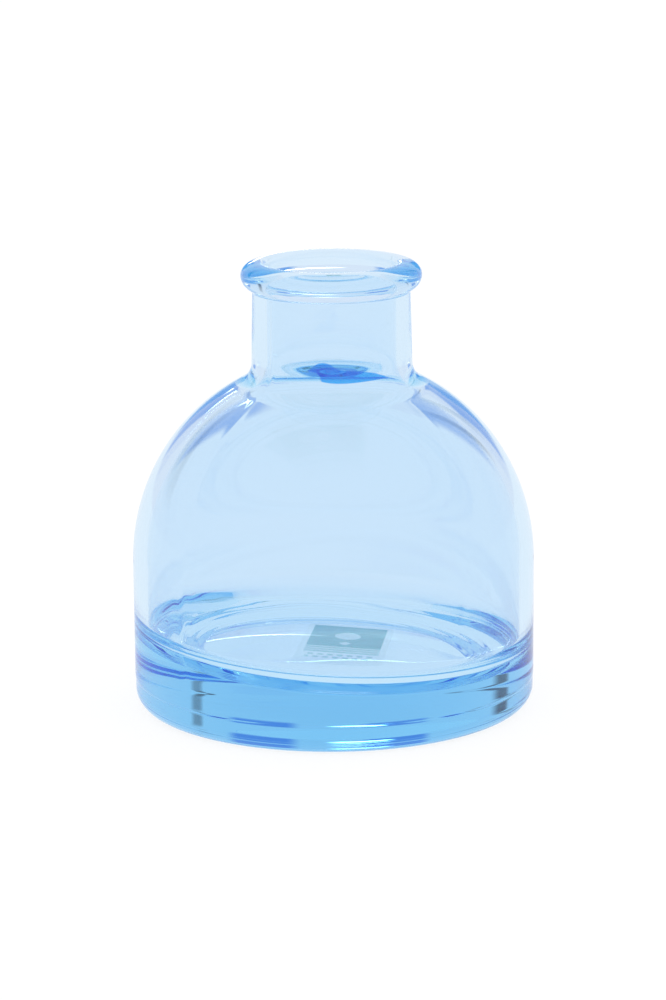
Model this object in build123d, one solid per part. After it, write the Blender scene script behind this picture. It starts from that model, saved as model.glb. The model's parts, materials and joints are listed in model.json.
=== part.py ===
"""A dome-shaped reed diffuser bottle of thick moulded glass, with a film label under its base.

Millimetres, +Z up. The origin is the centre of the ring that the bottle stands on.
"""

from build123d import *
import os

# Outside of the bottle, from the base up
BODY_RADIUS = 37.5
HEEL_ROUND = 3.4  # rounding from the standing ring to the side
SIDE_HEIGHT = 27.6  # where the straight side turns into the dome
DOME_RISE = 38.0  # half-height of the ellipse that the dome is a part of
NECK_FOOT_RADIUS = 14.9
NECK_TAPER = 0.3  # how much narrower the neck is at its top
NECK_LENGTH = 18.7  # from the foot of the neck to the lip's widest circle
SHOULDER_ROUND = 3.7  # hollow rounding between dome and neck

# Bead round the mouth
LIP_OVERHANG = 2.15  # how far the bead stands out from the top of the neck
LIP_RISE = 2.5  # from its widest circle to its top
LIP_DROP = 2.9  # from its widest circle down to its lower edge
CROWN_FLAT = 0.3  # level ring on top of the bead
MOUTH_ROUND = 1.2  # rounding from the level ring into the bore

# Inside of the bottle
NECK_WALL = 2.9  # glass at the foot of the neck
SIDE_WALL = 2.6
DOME_WALL = 3.6  # glass at the crown of the dome's ellipse
BORE_FOOT_ROUND = 9.0  # rounding where the bore opens into the dome
FLOOR_THICKNESS = 9.2
SLOPE_RUN = 10.0  # width of the slope between the flat floor and the side wall
SLOPE_RISE = 5.2  # height of that slope
CORNER_ROUND = 4.3  # rounding between the slope and the side wall

# Underside
STANDING_RING_WIDTH = 3.2  # flat ring that the bottle stands on
RECESS_DEPTH = 1.2
RECESS_SLOPE = 2.0  # width of the slope from the standing ring up to the recess

# Film label stuck in the recess, with its head close to the edge
LABEL_WIDTH = 17.0
LABEL_LENGTH = 28.0
LABEL_CORNER = 1.5
LABEL_THICKNESS = 0.12
LABEL_TURN = -7.0  # degrees about the bottle's axis
LABEL_EDGE_CLEARANCE = 1.5  # from the corners at its head to the slope

# Sizes that follow from those above
SHOULDER_HEIGHT = SIDE_HEIGHT + DOME_RISE * (1 - (NECK_FOOT_RADIUS / BODY_RADIUS) ** 2) ** 0.5
LIP_HEIGHT = SHOULDER_HEIGHT + NECK_LENGTH
TOP_HEIGHT = LIP_HEIGHT + LIP_RISE
NECK_TOP_RADIUS = NECK_FOOT_RADIUS - NECK_TAPER
BORE_RADIUS = NECK_FOOT_RADIUS - NECK_WALL
CROWN_RADIUS = BORE_RADIUS + MOUTH_ROUND + CROWN_FLAT
BEAD_RUN = NECK_TOP_RADIUS + LIP_OVERHANG - CROWN_RADIUS
HOLLOW_RADIUS = BODY_RADIUS - SIDE_WALL
HOLLOW_CROWN = DOME_RISE - DOME_WALL
RING_INNER_RADIUS = BODY_RADIUS - HEEL_ROUND - STANDING_RING_WIDTH
RECESS_RADIUS = RING_INNER_RADIUS - RECESS_SLOPE


def block(radius, low, high):
    """Rectangle of the half section, from the axis out to a radius."""
    return Pos(radius / 2, (low + high) / 2) * Rectangle(radius, high - low)


def quadrant(radius, height, run, rise):
    """Quarter of an ellipse in the half section, outside its centre; a negative rise points down."""
    centre = (radius, height)
    side = (radius + run, height)
    crown = (radius, height + rise)
    arc = Bezier(side, (radius + run, height + rise), crown, weights=(1, 0.5**0.5, 1))
    return make_face(Curve() + [Line(centre, side), arc, Line(crown, centre)])


def turned(section):
    """Solid of revolution of a half section drawn with x as radius and y as height."""
    return revolve(Plane.XZ * section, Axis.Z)


def ring_edge(solid, radius, height):
    """The circular edge of a solid of revolution that is nearest to a radius and height."""
    def miss(edge):
        return abs(edge.radius - radius) + abs(edge.center(CenterOf.GEOMETRY).Z - height)

    return min(solid.edges().filter_by(GeomType.CIRCLE), key=miss)


def outer_form():
    """Side, dome, neck and bead as if the bottle were solid."""
    side = block(BODY_RADIUS, 0, SIDE_HEIGHT)
    dome = quadrant(0, SIDE_HEIGHT, BODY_RADIUS, DOME_RISE)
    low, high = (0, SIDE_HEIGHT), (0, LIP_HEIGHT)
    foot, top = (NECK_FOOT_RADIUS, SHOULDER_HEIGHT), (NECK_TOP_RADIUS, LIP_HEIGHT)
    neck = make_face(Polyline(low, (NECK_FOOT_RADIUS, SIDE_HEIGHT), foot, top, high, close=True))
    bead = quadrant(CROWN_RADIUS, LIP_HEIGHT, BEAD_RUN, LIP_RISE)
    bead += quadrant(CROWN_RADIUS, LIP_HEIGHT, BEAD_RUN, -LIP_DROP)
    mouth = block(CROWN_RADIUS, LIP_HEIGHT, TOP_HEIGHT)
    form = turned(side + dome + neck + bead + mouth)
    form = fillet(ring_edge(form, NECK_FOOT_RADIUS, SHOULDER_HEIGHT), SHOULDER_ROUND)
    return fillet(ring_edge(form, BODY_RADIUS, 0), HEEL_ROUND)


def hollow_form():
    """The space inside: flat floor, the slope round it, side, dome and the bore through the neck."""
    low, high = (0, FLOOR_THICKNESS), (0, SIDE_HEIGHT)
    flat_rim = (HOLLOW_RADIUS - SLOPE_RUN, FLOOR_THICKNESS)
    side_foot = (HOLLOW_RADIUS, FLOOR_THICKNESS + SLOPE_RISE)
    body = make_face(Polyline(low, flat_rim, side_foot, (HOLLOW_RADIUS, SIDE_HEIGHT), high, close=True))
    dome = quadrant(0, SIDE_HEIGHT, HOLLOW_RADIUS, HOLLOW_CROWN)
    bore = block(BORE_RADIUS, SIDE_HEIGHT, TOP_HEIGHT)
    form = turned(body + dome + bore)
    form = fillet(ring_edge(form, *side_foot), CORNER_ROUND)
    bore_foot = SIDE_HEIGHT + HOLLOW_CROWN * (1 - (BORE_RADIUS / HOLLOW_RADIUS) ** 2) ** 0.5
    return fillet(ring_edge(form, BORE_RADIUS, bore_foot), BORE_FOOT_ROUND)


def glass_bottle():
    """The moulded bottle: one piece of glass with a recess under its thick base."""
    recess = Pos(0, 0, RECESS_DEPTH / 2) * Cone(RING_INNER_RADIUS, RECESS_RADIUS, RECESS_DEPTH)
    glass = outer_form() - hollow_form() - recess
    return fillet(ring_edge(glass, BORE_RADIUS, TOP_HEIGHT), MOUTH_ROUND)


def base_label():
    """Thin film label on the roof of the recess, read from below."""
    reach = ((RECESS_RADIUS - LABEL_EDGE_CLEARANCE) ** 2 - (LABEL_WIDTH / 2) ** 2) ** 0.5
    outline = RectangleRounded(LABEL_WIDTH, LABEL_LENGTH, LABEL_CORNER)
    film = extrude(outline, LABEL_THICKNESS)
    place = Pos(0, reach - LABEL_LENGTH / 2, RECESS_DEPTH - LABEL_THICKNESS)
    return Rot(0, 0, LABEL_TURN) * place * film


PIECES = {"glass_bottle": glass_bottle, "base_label": base_label}

os.makedirs("parts", exist_ok=True)
for name, make in PIECES.items():
    export_step(make(), f"parts/{name}.step")
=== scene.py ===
"""Looks of a pale blue reed diffuser bottle: moulded glass, and a printed film label under its base.

Metres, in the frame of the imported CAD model. The glass is lathed here at a fine pitch, because the light that
it bends shows every facet, and because real moulded glass is a little uneven inside.
"""

import json
import math
import bpy
from mathutils import Matrix, Vector


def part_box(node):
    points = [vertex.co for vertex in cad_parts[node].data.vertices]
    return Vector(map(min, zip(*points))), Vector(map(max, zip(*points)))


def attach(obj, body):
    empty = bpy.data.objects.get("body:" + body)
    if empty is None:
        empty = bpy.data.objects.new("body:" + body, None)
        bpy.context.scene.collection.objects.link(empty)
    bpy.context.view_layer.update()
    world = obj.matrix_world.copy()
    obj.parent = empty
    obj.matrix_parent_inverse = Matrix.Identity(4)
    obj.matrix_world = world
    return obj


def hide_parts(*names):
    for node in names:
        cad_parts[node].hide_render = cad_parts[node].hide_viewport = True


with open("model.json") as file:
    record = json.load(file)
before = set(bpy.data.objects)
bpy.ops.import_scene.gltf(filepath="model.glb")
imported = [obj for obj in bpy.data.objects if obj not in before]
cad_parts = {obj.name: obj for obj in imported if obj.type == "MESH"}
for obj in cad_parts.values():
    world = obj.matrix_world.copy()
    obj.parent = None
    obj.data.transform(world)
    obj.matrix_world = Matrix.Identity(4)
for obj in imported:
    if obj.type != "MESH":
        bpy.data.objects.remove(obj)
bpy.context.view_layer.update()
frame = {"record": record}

MM = 0.001
TURNS = 288  # steps round the lathe

# ---------------------------------------------------------------- sizes from the frame
LOW, HIGH = (Vector(corner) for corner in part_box("glass_bottle"))
MOUNTS = {mount["name"]: mount for mount in frame["record"]["mounts"]}
BODY_RADIUS = (HIGH.x - LOW.x) / 2
TOP = HIGH.z
BORE_RADIUS = MOUNTS["neck_bore"]["dims"]["r_mm"] * MM

# Shape of the outside, as in the CAD model
HEEL_ROUND = 3.4 * MM
SIDE_HEIGHT = 27.6 * MM
DOME_RISE = 38.0 * MM
NECK_FOOT_RADIUS = 14.9 * MM
NECK_TOP_RADIUS = 14.6 * MM
SHOULDER_ROUND = 3.7 * MM
LIP_OVERHANG = 2.15 * MM
LIP_RISE = 2.5 * MM
LIP_DROP = 2.9 * MM
CROWN_FLAT = 0.3 * MM
MOUTH_ROUND = 1.2 * MM
RING_INNER_RADIUS = 30.9 * MM
RECESS_RADIUS = 28.9 * MM
RECESS_DEPTH = 1.2 * MM
PARTING_HEIGHT = 5.4 * MM  # seam between the body mould and its base plate
PARTING_DEPTH = 0.1 * MM
PARTING_NOTCH = 0.35 * MM  # height of the step at that seam
RECESS_EDGE = 0.3 * MM  # half width of the softened edges of the recess
RECESS_SOFT_HIGH, RECESS_SOFT_LOW = 0.85, 0.15  # shares of its depth where those edges end

SEAM_TURN = 223.0  # degrees about the axis, on the left of the front
SEAM_WIDTH = 1.6  # degrees
SEAM_DEPTH = 0.05 * MM
SEAM_FOOT = (2 * MM, 5 * MM)  # the seam grows between these heights
SEAM_HEAD = (4 * MM, 3 * MM)  # and dies out between these distances below the lip

# Shape of the inside
SIDE_WALL = 2.6 * MM
DOME_WALL = 3.6 * MM
BORE_FOOT_ROUND = 9.0 * MM
FLOOR_THICKNESS = 9.2 * MM
SLOPE_RUN = 10.0 * MM
SLOPE_RISE = 4.8 * MM
CORNER_TANGENT = 2.6 * MM  # from the corner between slope and side to where its rounding starts
FLOOR_TILT = 0.066  # the floor is higher towards -X
KNEE_RADIUS = 29.8 * MM  # between a gentle slope round the floor and a steeper one up to the side
KNEE_RISE = 2.1 * MM
KNEE_TANGENT = 1.5 * MM  # from the knee to where its rounding starts
RIM_TANGENT = 0.6 * MM  # the same at the rim of the flat floor
RIPPLE = 0.035 * MM
RIPPLE_PITCH = 1.25 * MM
RIPPLE_FADE = 1 * MM  # either side of the floor's rim
RIPPLE_END = (29.5 * MM, 30.5 * MM)

LIP_RADIUS = NECK_TOP_RADIUS + LIP_OVERHANG
LIP_HEIGHT = TOP - LIP_RISE
CROWN_RADIUS = BORE_RADIUS + MOUTH_ROUND + CROWN_FLAT
HOLLOW_RADIUS = BODY_RADIUS - SIDE_WALL
HOLLOW_RISE = DOME_RISE - DOME_WALL
FLOOR_RADIUS = HOLLOW_RADIUS - SLOPE_RUN


# ---------------------------------------------------------------- small helpers
def mix(a, b, t):
    return a + (b - a) * t


def smooth(low, high, value):
    """0 below low, 1 above high and an even slope between them."""
    t = min(max((value - low) / (high - low), 0.0), 1.0)
    return t * t * (3 - 2 * t)


def line(start, end, steps):
    """Points from start up to but not including end."""
    return [(mix(start[0], end[0], i / steps), mix(start[1], end[1], i / steps)) for i in range(steps)]


def arc(centre, run, rise, start, end, steps):
    """Points along part of an ellipse between two angles in degrees, without the last."""
    points = []
    for i in range(steps):
        angle = math.radians(mix(start, end, i / steps))
        points.append((centre[0] + run * math.cos(angle), centre[1] + rise * math.sin(angle)))
    return points


def bend(before, corner, after, steps):
    """Points along a parabola that rounds a corner, without the last."""
    points = []
    for i in range(steps):
        t = i / steps
        a, b, c = (1 - t) ** 2, 2 * t * (1 - t), t * t
        points.append(tuple(a * before[k] + b * corner[k] + c * after[k] for k in (0, 1)))
    return points


def towards(start, end, distance):
    run, rise = end[0] - start[0], end[1] - start[1]
    part = distance / math.hypot(run, rise)
    return start[0] + part * run, start[1] + part * rise


def shoulder_angles(run, rise, neck, fillet):
    """Where a dome ellipse meets the rounding into a neck: its angle on the ellipse, the rounding's centre
    above the ellipse's own, and the rounding's first angle, all for angles in degrees."""
    low, high = 0.0, 90.0
    for _ in range(60):
        middle = (low + high) / 2
        t = math.radians(middle)
        across, up = math.cos(t) / run, math.sin(t) / rise
        size = math.hypot(across, up)
        if run * math.cos(t) + fillet * across / size > neck + fillet:
            low = middle
        else:
            high = middle
    slope = math.degrees(math.atan2(up, across))
    return middle, rise * math.sin(t) + fillet * up / size, slope + 180


# ---------------------------------------------------------------- camera
LENS = 135.1
STAND_OFF = 0.700
HEIGHT_ANGLE = 13.09
AIM = Vector((0.0, 0.0, 0.0415))
TILT_DOWN = 0.243
ROLL = -0.457


def make_camera():
    data = bpy.data.cameras.new("camera")
    data.lens = LENS
    data.sensor_width = 36
    data.clip_end = 50
    camera = bpy.data.objects.new("camera", data)
    angle = math.radians(HEIGHT_ANGLE)
    place = AIM + STAND_OFF * Vector((0, -math.cos(angle), math.sin(angle)))
    turn = Matrix.Rotation(math.radians(90 - HEIGHT_ANGLE - TILT_DOWN), 4, "X")
    camera.matrix_world = Matrix.Translation(place) @ turn @ Matrix.Rotation(math.radians(ROLL), 4, "Z")
    bpy.context.scene.collection.objects.link(camera)
    bpy.context.scene.camera = camera


# ---------------------------------------------------------------- glass
def outside_section():
    """Half section of the outside, from the axis under the base up to the middle of the lip's crown."""
    meeting = shoulder_angles(BODY_RADIUS, DOME_RISE, NECK_FOOT_RADIUS, SHOULDER_ROUND)
    angle, rounding_height, rounding_start = meeting
    rounding = (NECK_FOOT_RADIUS + SHOULDER_ROUND, SIDE_HEIGHT + rounding_height)
    bead_run = LIP_RADIUS - CROWN_RADIUS
    meets = math.degrees(math.acos((NECK_TOP_RADIUS - CROWN_RADIUS) / bead_run))
    bead_foot = LIP_HEIGHT - LIP_DROP * math.sin(math.radians(meets))
    plate = BODY_RADIUS - PARTING_DEPTH
    step_top = PARTING_HEIGHT + PARTING_NOTCH
    roof_end = (RECESS_RADIUS - RECESS_EDGE, RECESS_DEPTH)
    slope_top = (RECESS_RADIUS + RECESS_EDGE, RECESS_DEPTH * RECESS_SOFT_HIGH)
    slope_foot = (RING_INNER_RADIUS - RECESS_EDGE, RECESS_DEPTH * RECESS_SOFT_LOW)
    ring_start = (RING_INNER_RADIUS + RECESS_EDGE, 0)
    points = line((0, RECESS_DEPTH), roof_end, 40)
    points += line(roof_end, slope_top, 4)
    points += line(slope_top, slope_foot, 8)
    points += line(slope_foot, ring_start, 4)
    points += line(ring_start, (BODY_RADIUS - HEEL_ROUND, 0), 8)
    points += arc((BODY_RADIUS - HEEL_ROUND, HEEL_ROUND), HEEL_ROUND - PARTING_DEPTH, HEEL_ROUND, -90, 0, 28)
    points += line((plate, HEEL_ROUND), (plate, PARTING_HEIGHT), 6)
    points += line((plate, PARTING_HEIGHT), (BODY_RADIUS, step_top), 6)
    points += line((BODY_RADIUS, step_top), (BODY_RADIUS, SIDE_HEIGHT), 36)
    points += arc((0, SIDE_HEIGHT), BODY_RADIUS, DOME_RISE, 0, angle, 90)
    points += arc(rounding, SHOULDER_ROUND, SHOULDER_ROUND, rounding_start, 180, 24)
    points += line((NECK_FOOT_RADIUS, rounding[1]), (NECK_TOP_RADIUS, bead_foot), 30)
    points += arc((CROWN_RADIUS, LIP_HEIGHT), bead_run, LIP_DROP, -meets, 0, 24)
    points += arc((CROWN_RADIUS, LIP_HEIGHT), bead_run, LIP_RISE, 0, 90, 28)
    return points


def inside_section():
    """Half section of the inside, from the crown of the lip down to the axis on the floor."""
    meeting = shoulder_angles(HOLLOW_RADIUS, HOLLOW_RISE, BORE_RADIUS, BORE_FOOT_ROUND)
    angle, rounding_height, rounding_start = meeting
    rounding = (BORE_RADIUS + BORE_FOOT_ROUND, SIDE_HEIGHT + rounding_height)
    side_foot = (HOLLOW_RADIUS, SIDE_HEIGHT)
    corner = (HOLLOW_RADIUS, FLOOR_THICKNESS + SLOPE_RISE)
    rim = (FLOOR_RADIUS, FLOOR_THICKNESS)
    knee = (KNEE_RADIUS, FLOOR_THICKNESS + KNEE_RISE)
    above = towards(corner, side_foot, CORNER_TANGENT)
    below = towards(corner, knee, CORNER_TANGENT)
    knee_up = towards(knee, corner, KNEE_TANGENT)
    knee_down = towards(knee, rim, KNEE_TANGENT)
    rim_side = towards(rim, corner, RIM_TANGENT)
    rim_floor = (FLOOR_RADIUS - RIM_TANGENT, FLOOR_THICKNESS)
    points = line((CROWN_RADIUS, TOP), (CROWN_RADIUS - CROWN_FLAT, TOP), 3)
    points += arc((BORE_RADIUS + MOUTH_ROUND, TOP - MOUTH_ROUND), MOUTH_ROUND, MOUTH_ROUND, 90, 180, 20)
    points += line((BORE_RADIUS, TOP - MOUTH_ROUND), (BORE_RADIUS, rounding[1]), 36)
    points += arc(rounding, BORE_FOOT_ROUND, BORE_FOOT_ROUND, 180, rounding_start, 24)
    points += arc((0, SIDE_HEIGHT), HOLLOW_RADIUS, HOLLOW_RISE, angle, 0, 90)
    points += line(side_foot, above, 30)
    points += bend(above, corner, below, 20)
    points += line(below, knee_up, 12)
    points += bend(knee_up, knee, knee_down, 12)
    points += line(knee_down, rim_side, 48)
    points += bend(rim_side, rim, rim_floor, 12)
    points += line(rim_floor, (0, FLOOR_THICKNESS), 40)
    points.append((0, FLOOR_THICKNESS))
    return points


def uneven_outside(radius, height, turn):
    """Moved point of the outside: the faint groove where the halves of the mould met, on opposite sides."""
    away = (math.degrees(turn) - SEAM_TURN + 90) % 180 - 90
    side = smooth(*SEAM_FOOT, height)
    side *= 1 - smooth(LIP_HEIGHT - SEAM_HEAD[0], LIP_HEIGHT - SEAM_HEAD[1], height)
    return radius - SEAM_DEPTH * side * math.exp(-((away / SEAM_WIDTH) ** 2)), height


def uneven_inside(radius, height, turn):
    """Moved point of the inside: the tilted floor and the ripples round it."""
    low = 1 - smooth(FLOOR_THICKNESS, SIDE_HEIGHT, height)
    ring = smooth(FLOOR_RADIUS - RIPPLE_FADE, FLOOR_RADIUS + RIPPLE_FADE, radius)
    ring *= 1 - smooth(*RIPPLE_END, radius)
    height += RIPPLE * ring * low * math.sin(2 * math.pi * (radius - FLOOR_RADIUS) / RIPPLE_PITCH)
    height -= FLOOR_TILT * radius * math.cos(turn) * low
    return radius, height


def lathe(name, outside, inside):
    """Closed mesh of revolution; the first and last points lie on the axis and become one vertex each."""
    rings = [(p, uneven_outside) for p in outside] + [(p, uneven_inside) for p in inside]
    bottom, top = rings[0], rings[-1]
    verts, faces = [(0, 0, bottom[0][1])], []
    for (radius, height), bend_ring in rings[1:-1]:
        for i in range(TURNS):
            turn = 2 * math.pi * i / TURNS
            r, z = bend_ring(radius, height, turn)
            verts.append((r * math.cos(turn), r * math.sin(turn), z))
    last = len(verts)
    verts.append((0, 0, top[1](0, top[0][1], 0)[1]))
    count = len(rings) - 2
    for i in range(TURNS):
        j = (i + 1) % TURNS
        faces.append((0, 1 + j, 1 + i))
        for k in range(count - 1):
            a, b = 1 + k * TURNS, 1 + (k + 1) * TURNS
            faces.append((a + i, a + j, b + j, b + i))
        end = 1 + (count - 1) * TURNS
        faces.append((end + i, end + j, last))
    mesh = bpy.data.meshes.new(name)
    mesh.from_pydata(verts, [], faces)
    mesh.shade_smooth()
    mesh.update()
    piece = bpy.data.objects.new(name, mesh)
    bpy.context.scene.collection.objects.link(piece)
    return piece


# ---------------------------------------------------------------- materials
class Nodes:
    """Short ways to add nodes to a material or a world."""

    def __init__(self, owner, output):
        owner.use_nodes = True
        self.tree = owner.node_tree
        self.tree.nodes.clear()
        self.out = self.tree.nodes.new(output)

    def add(self, kind, **inputs):
        node = self.tree.nodes.new(kind)
        for name, value in inputs.items():
            self.set(node, name.replace("_", " "), value)
        return node

    def set(self, node, name, value):
        if isinstance(value, bpy.types.NodeSocket):
            self.tree.links.new(value, node.inputs[name])
        else:
            node.inputs[name].default_value = value

    def maths(self, operation, *values, clamp=False):
        node = self.tree.nodes.new("ShaderNodeMath")
        node.operation = operation
        node.use_clamp = clamp
        for i, value in enumerate(values):
            self.set(node, i, value)
        return node.outputs[0]

    def step(self, value, low, high):
        """0 below low, 1 above high, smooth between them."""
        node = self.tree.nodes.new("ShaderNodeMapRange")
        node.interpolation_type = "SMOOTHSTEP"
        self.set(node, "Value", value)
        node.inputs["From Min"].default_value = low
        node.inputs["From Max"].default_value = high
        return node.outputs["Result"]

    def curve(self, value, start, end, points):
        """Height over a value from start to end, through points (value, height) with heights 0 to 1."""
        node = self.tree.nodes.new("ShaderNodeFloatCurve")
        line_of = node.mapping.curves[0]
        scaled = [((at - start) / (end - start), height) for at, height in points]
        line_of.points[0].location, line_of.points[1].location = scaled[0], scaled[-1]
        for at, height in scaled[1:-1]:
            line_of.points.new(at, height)
        node.mapping.update()
        part = self.maths("DIVIDE", self.maths("SUBTRACT", value, start), end - start)
        self.set(node, "Value", part)
        return node.outputs["Value"]

    def place(self):
        """X, Y and Z of a point on the object, in metres."""
        where = self.tree.nodes.new("ShaderNodeTexCoord")
        split = self.add("ShaderNodeSeparateXYZ", Vector=where.outputs["Object"])
        return split.outputs

    def mix(self, factor, first, second):
        node = self.tree.nodes.new("ShaderNodeMix")
        node.data_type = "RGBA"
        self.set(node, 0, factor)
        for socket, value in ((node.inputs[6], first), (node.inputs[7], second)):
            if isinstance(value, bpy.types.NodeSocket):
                self.tree.links.new(value, socket)
            else:
                socket.default_value = (*value, 1)
        return node.outputs[2]


# A painted patch that stands in for light bent in the root of the neck, and isn't known to be in the glass.
# Its upper and lower edges run through points (millimetres to +X, share of the patch's height).
PAINTED_REFRACTION_BLUE = (0.002, 0.24, 0.88)
PAINTED_REFRACTION_LOW, PAINTED_REFRACTION_HIGH = 63.0, 67.6  # millimetres up the bottle
PAINTED_REFRACTION_START, PAINTED_REFRACTION_END = -5, 11  # millimetres to +X
PAINTED_REFRACTION_TOP = ((-5, 0.50), (-4.4, 0.53), (-3.2, 0.72), (-1.6, 0.88), (-0.6, 0.84), (0.8, 0.64), (2.0, 0.57),
            (4.5, 0.50), (7.0, 0.38), (8.6, 0.20), (9.6, 0.06), (11, 0.0))
PAINTED_REFRACTION_FOOT = ((-5, 0.54), (-4.4, 0.53), (-3.2, 0.50), (-2.4, 0.44), (-2.0, 0.30), (-1.7, 0.08),
             (9.6, 0.04), (11, 0.04))
PAINTED_REFRACTION_SOFT = 0.02
GLASS_IOR = 1.52
GLASS_SKIN = (0.845, 0.925, 0.99)
GLASS_ABSORBS = (19.5, 6.0, 1.0)  # per metre, for red, green and blue


def painted_refraction_mask(nodes, x, y, z, across):
    """Where the painted patch is: a small wave on the inner surface at the front of the neck's root."""
    span = (PAINTED_REFRACTION_HIGH - PAINTED_REFRACTION_LOW) * MM
    at = nodes.maths("DIVIDE", x, MM)
    height = nodes.maths("DIVIDE", nodes.maths("SUBTRACT", z, PAINTED_REFRACTION_LOW * MM), span)
    upper = nodes.curve(at, PAINTED_REFRACTION_START, PAINTED_REFRACTION_END, PAINTED_REFRACTION_TOP)
    lower = nodes.curve(at, PAINTED_REFRACTION_START, PAINTED_REFRACTION_END, PAINTED_REFRACTION_FOOT)
    below = nodes.step(nodes.maths("SUBTRACT", upper, height), -PAINTED_REFRACTION_SOFT, PAINTED_REFRACTION_SOFT)
    above = nodes.step(nodes.maths("SUBTRACT", height, lower), -PAINTED_REFRACTION_SOFT, PAINTED_REFRACTION_SOFT)
    inner = nodes.maths("SUBTRACT", 1.0, nodes.step(across, 13.2 * MM, 13.4 * MM))
    front = nodes.maths("SUBTRACT", 1.0, nodes.step(y, -1 * MM, 1 * MM))
    mask = nodes.maths("MULTIPLY", below, above)
    for part in (inner, front, nodes.step(at, -4.9, -4.6), nodes.maths("LESS_THAN", at, 10.5)):
        mask = nodes.maths("MULTIPLY", mask, part)
    return mask


def glass_material():
    material = bpy.data.materials.new("blue_glass")
    nodes = Nodes(material, "ShaderNodeOutputMaterial")
    x, y, z = nodes.place()
    squares = nodes.maths("MULTIPLY", x, x), nodes.maths("MULTIPLY", y, y)
    across = nodes.maths("SQRT", nodes.maths("ADD", *squares))
    skin = nodes.add("ShaderNodeBsdfPrincipled")
    # The base colour mixes in a painted patch of deep blue: painted refraction standing in for light bent in
    # the neck's root
    nodes.set(skin, "Base Color", nodes.mix(painted_refraction_mask(nodes, x, y, z, across), GLASS_SKIN, PAINTED_REFRACTION_BLUE))
    skin.inputs["Roughness"].default_value = 0.0
    skin.inputs["IOR"].default_value = GLASS_IOR
    skin.inputs["Transmission Weight"].default_value = 1.0
    inside = nodes.add("ShaderNodeVolumeAbsorption")
    inside.inputs["Color"].default_value = (*(1 - part / GLASS_ABSORBS[0] for part in GLASS_ABSORBS), 1)
    inside.inputs["Density"].default_value = GLASS_ABSORBS[0]
    nodes.tree.links.new(skin.outputs["BSDF"], nodes.out.inputs["Surface"])
    nodes.tree.links.new(inside.outputs["Volume"], nodes.out.inputs["Volume"])
    return material


def make_bottle():
    bottle = lathe("bottle_glass", outside_section(), inside_section())
    bottle.data.materials.append(glass_material())
    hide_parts("glass_bottle")
    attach(bottle, "root")


# ---------------------------------------------------------------- label
LABEL_WIDTH = 17.0 * MM
LABEL_LENGTH = 28.0 * MM
LABEL_CORNER = 1.5 * MM
LABEL_THICKNESS = 0.12 * MM
LABEL_TURN = -7.0
LABEL_CENTRE_Y = 12.09 * MM
LABEL_GAP = -0.02 * MM  # the top of the film lies this much below the glass
INK = (0.0, 1.0, 0.90)
INK_COVER = 0.72
FILM_COVER = 0.06
FILM_ROUGHNESS = 0.45

# The print, in millimetres from the bottle's axis before the label is turned and moved
HEAD_REACH = 7.2
HEAD_LOW, HEAD_HIGH = -1.2, 13.2
DISC_HEIGHT, DISC_EDGE = 6.6, (2.5, 2.7)
DIAMOND_HEIGHT, DIAMOND_EDGE = 1.4, (1.3, 1.5)
MARK_OPEN = 0.8  # how far the disc and the diamond are left open
STRIPES, STRIPE_WIDTH, STRIPE_COVER = (-2.6, -4.0, -5.4), 0.7, 0.7
DASH_ROWS = ((-7.6, 0.0), (-9.4, 0.7))  # height and shift
DASH_REACH, DASH_PITCH, DASH_HEIGHT, DASH_COVER = 6.6, 1.9, 0.8, 0.6


def label_material():
    """Clear film with a coloured head, a plain disc and a small diamond left open in it, pale stripes and
    two rows of dashes."""
    material = bpy.data.materials.new("label_film")
    nodes = Nodes(material, "ShaderNodeOutputMaterial")
    x, y, z = nodes.place()

    def band(value, low, high, soft=0.08):
        rise = nodes.step(value, (low - soft) * MM, (low + soft) * MM)
        fall = nodes.step(value, (high - soft) * MM, (high + soft) * MM)
        return nodes.maths("SUBTRACT", rise, fall)

    def either(*values):
        result = values[0]
        for value in values[1:]:
            result = nodes.maths("MAXIMUM", result, value)
        return result

    def both(*values):
        result = values[0]
        for value in values[1:]:
            result = nodes.maths("MULTIPLY", result, value)
        return result

    def within(distance, edge):
        return nodes.maths("SUBTRACT", 1.0, nodes.step(distance, edge[0] * MM, edge[1] * MM))

    width = band(x, -HEAD_REACH, HEAD_REACH)
    up = nodes.maths("POWER", nodes.maths("SUBTRACT", y, DISC_HEIGHT * MM), 2.0)
    ring = nodes.maths("SQRT", nodes.maths("ADD", nodes.maths("MULTIPLY", x, x), up))
    up = nodes.maths("ABSOLUTE", nodes.maths("SUBTRACT", y, DIAMOND_HEIGHT * MM))
    lozenge = nodes.maths("ADD", nodes.maths("ABSOLUTE", x), up)
    marks = nodes.maths("MULTIPLY", either(within(ring, DISC_EDGE), within(lozenge, DIAMOND_EDGE)), MARK_OPEN)
    head = both(width, band(y, HEAD_LOW, HEAD_HIGH), nodes.maths("SUBTRACT", 1.0, marks))
    stripes = either(*(band(y, low, low + STRIPE_WIDTH) for low in STRIPES))
    stripes = both(width, stripes, STRIPE_COVER)
    dashes = []
    for low, shift in DASH_ROWS:
        along = nodes.maths("ADD", x, (10 + shift) * MM)
        beat = nodes.maths("FRACT", nodes.maths("DIVIDE", along, DASH_PITCH * MM))
        dash = nodes.maths("SUBTRACT", 1.0, nodes.step(beat, 0.5, 0.6))
        row = band(y, low, low + DASH_HEIGHT)
        dashes.append(both(dash, row, band(x, -DASH_REACH, DASH_REACH), DASH_COVER))
    print_mask = either(head, stripes, *dashes)
    film = nodes.add("ShaderNodeBsdfPrincipled")
    film.inputs["Base Color"].default_value = (*INK, 1)
    film.inputs["Roughness"].default_value = FILM_ROUGHNESS
    nodes.set(film, "Alpha", nodes.maths("ADD", FILM_COVER, nodes.maths("MULTIPLY", print_mask, INK_COVER)))
    nodes.tree.links.new(film.outputs["BSDF"], nodes.out.inputs["Surface"])
    return material


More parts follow.
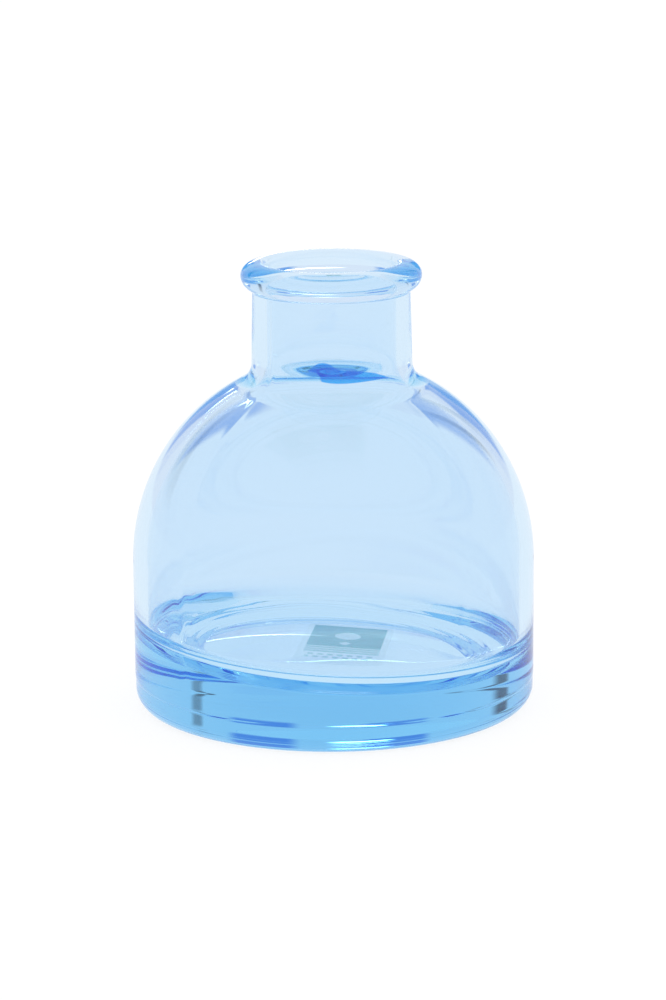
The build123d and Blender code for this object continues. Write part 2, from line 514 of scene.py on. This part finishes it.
def make_label():
    """The film: a rounded rectangle with its print's own origin at the middle of the label."""
    steps = 8
    half_x, half_y = LABEL_WIDTH / 2 - LABEL_CORNER, LABEL_LENGTH / 2 - LABEL_CORNER
    outline = []
    for quarter, (sx, sy) in enumerate(((1, 1), (-1, 1), (-1, -1), (1, -1))):
        for i in range(steps + 1):
            angle = math.radians(90 * quarter + 90 * i / steps)
            run, rise = LABEL_CORNER * math.cos(angle), LABEL_CORNER * math.sin(angle)
            outline.append((sx * half_x + run, sy * half_y + rise))
    top = RECESS_DEPTH + LABEL_GAP
    count = len(outline)
    verts = [(x, y, z) for z in (top - LABEL_THICKNESS, top) for x, y in outline]
    faces = [tuple(range(count - 1, -1, -1)), tuple(range(count, 2 * count))]
    faces += [(i, (i + 1) % count, count + (i + 1) % count, count + i) for i in range(count)]
    mesh = bpy.data.meshes.new("label")
    mesh.from_pydata(verts, [], faces)
    label = bpy.data.objects.new("printed_label", mesh)
    turn = Matrix.Rotation(math.radians(LABEL_TURN), 4, "Z")
    label.matrix_world = turn @ Matrix.Translation((0, LABEL_CENTRE_Y, 0))
    label.data.materials.append(label_material())
    bpy.context.scene.collection.objects.link(label)
    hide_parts("base_label")
    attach(label, "root")


# ---------------------------------------------------------------- stage
FLOOR_DIFFUSE = 0.2
FLOOR_GLOW = 0.86
FLOOR_SIZE = 6.0
FLOOR_LEVEL = -0.05 * MM
UNDERLAY = (0.92, 0.95, 1.0)
UNDERLAY_LEVEL = -0.02 * MM
SKY = (0.86, 0.88, 0.96)
SKY_STRENGTH = 1.0
WINDOW = 8.0
WINDOW_AZIMUTHS = (-12, 2)
WINDOW_HEIGHTS = (8.9, 10.6)
CARD_BLUE = (0.16, 0.42, 0.95)
LEFT_CARD = 0.85
LEFT_AZIMUTHS = (-20, -4)
LEFT_HEIGHTS = (-0.5, 15.5)
STRIP = 0.15
STRIP_GREY = (0.75, 0.85, 1.0)
LEFT_STRIP = (-62, -50)
RIGHT_STRIP = (29.5, 35)
RIGHT_CARD = 0.85
RIGHT_AZIMUTHS = (6, 23)
RIGHT_HEIGHTS = (0, 16.5)


def sheet(name, corners, glow, colour=(1, 1, 1), soft=0.0):
    """A lit or dark card of the studio, out of the camera's sight, with edges that may fade out."""
    mesh = bpy.data.meshes.new(name)
    mesh.from_pydata(corners, [], [(0, 1, 2, 3)])
    spread = mesh.uv_layers.new(name="card")
    for place, uv in zip(spread.data, ((0, 0), (1, 0), (1, 1), (0, 1))):
        place.uv = uv
    card = bpy.data.objects.new(name, mesh)
    material = bpy.data.materials.new(name)
    nodes = Nodes(material, "ShaderNodeOutputMaterial")
    light = nodes.add("ShaderNodeEmission", Strength=glow)
    light.inputs["Color"].default_value = (*colour, 1)
    shade = light.outputs["Emission"]
    if soft:
        where = nodes.tree.nodes.new("ShaderNodeTexCoord")
        across, up, _ = nodes.add("ShaderNodeSeparateXYZ", Vector=where.outputs["UV"]).outputs
        sides, ends = (
            nodes.maths("MULTIPLY", nodes.step(part, 0.0, soft),
                        nodes.step(nodes.maths("SUBTRACT", 1.0, part), 0.0, soft))
            for part in (across, up))
        clear = nodes.add("ShaderNodeBsdfTransparent")
        fade = nodes.tree.nodes.new("ShaderNodeMixShader")
        nodes.tree.links.new(nodes.maths("MULTIPLY", sides, ends), fade.inputs[0])
        nodes.tree.links.new(clear.outputs["BSDF"], fade.inputs[1])
        nodes.tree.links.new(shade, fade.inputs[2])
        shade = fade.outputs["Shader"]
    nodes.tree.links.new(shade, nodes.out.inputs["Surface"])
    mesh.materials.append(material)
    card.visible_camera = False
    card.visible_diffuse = False
    card.visible_shadow = False
    bpy.context.scene.collection.objects.link(card)


def dome_card(name, azimuths, elevations, distance, glow, colour=(1, 1, 1), soft=0.0, lean=0.0):
    """A card facing the object, between two azimuths (0 is behind it, to +Y, and 90 is to +X) and elevations,
    and with its top turned on by the lean, in degrees."""
    def corner(azimuth, elevation):
        a, e = math.radians(azimuth), math.radians(elevation)
        level = distance * math.cos(e)
        return level * math.sin(a), level * math.cos(a), distance * math.sin(e)

    (west, east), (low, high) = azimuths, elevations
    corners = [corner(west, low), corner(east, low), corner(east + lean, high), corner(west + lean, high)]
    sheet(name, corners, glow, colour, soft)


def level_corners(level):
    size = FLOOR_SIZE
    return [(-size, -size, level), (size, -size, level), (size, size, level), (-size, size, level)]


def make_floor():
    material = bpy.data.materials.new("pale_floor")
    nodes = Nodes(material, "ShaderNodeOutputMaterial")
    paint = nodes.add("ShaderNodeBsdfPrincipled")
    paint.inputs["Base Color"].default_value = (FLOOR_DIFFUSE, FLOOR_DIFFUSE, FLOOR_DIFFUSE, 1)
    paint.inputs["Roughness"].default_value = 0.9
    paint.inputs["Specular IOR Level"].default_value = 0.0
    paint.inputs["Emission Color"].default_value = (1, 1, 1, 1)
    paint.inputs["Emission Strength"].default_value = FLOOR_GLOW
    nodes.tree.links.new(paint.outputs["BSDF"], nodes.out.inputs["Surface"])
    mesh = bpy.data.meshes.new("floor")
    mesh.from_pydata(level_corners(FLOOR_LEVEL), [], [(0, 1, 2, 3)])
    floor = bpy.data.objects.new("floor", mesh)
    floor.data.materials.append(material)
    bpy.context.scene.collection.objects.link(floor)


def make_underlay():
    """A toned sheet just above the floor, which the glass sees and the camera doesn't."""
    sheet("underlay", level_corners(UNDERLAY_LEVEL), 1.0, UNDERLAY)


def make_world():
    world = bpy.data.worlds.new("studio")
    nodes = Nodes(world, "ShaderNodeOutputWorld")
    sky = nodes.add("ShaderNodeBackground", Strength=SKY_STRENGTH)
    sky.inputs["Color"].default_value = (*SKY, 1)
    nodes.tree.links.new(sky.outputs["Background"], nodes.out.inputs["Surface"])
    bpy.context.scene.world = world


def make_studio():
    dome_card("window", WINDOW_AZIMUTHS, WINDOW_HEIGHTS, 2.0, WINDOW, soft=0.25)
    dome_card("left_card", LEFT_AZIMUTHS, LEFT_HEIGHTS, 2.1, LEFT_CARD, CARD_BLUE, 0.2)
    dome_card("left_strip", LEFT_STRIP, (5, 34), 2.3, STRIP, STRIP_GREY, 0.4, lean=33)
    dome_card("right_strip", RIGHT_STRIP, (8, 44), 2.3, STRIP, STRIP_GREY, 0.4)
    dome_card("right_card", RIGHT_AZIMUTHS, RIGHT_HEIGHTS, 2.1, RIGHT_CARD, CARD_BLUE, 0.2)


def set_light_paths():
    scene = bpy.context.scene
    scene.view_settings.view_transform = "Standard"
    scene.cycles.max_bounces = 96
    scene.cycles.transmission_bounces = 96
    scene.cycles.glossy_bounces = 96
    scene.cycles.transparent_max_bounces = 16


make_camera()
make_bottle()
make_label()
make_floor()
make_underlay()
make_world()
make_studio()
set_light_paths()
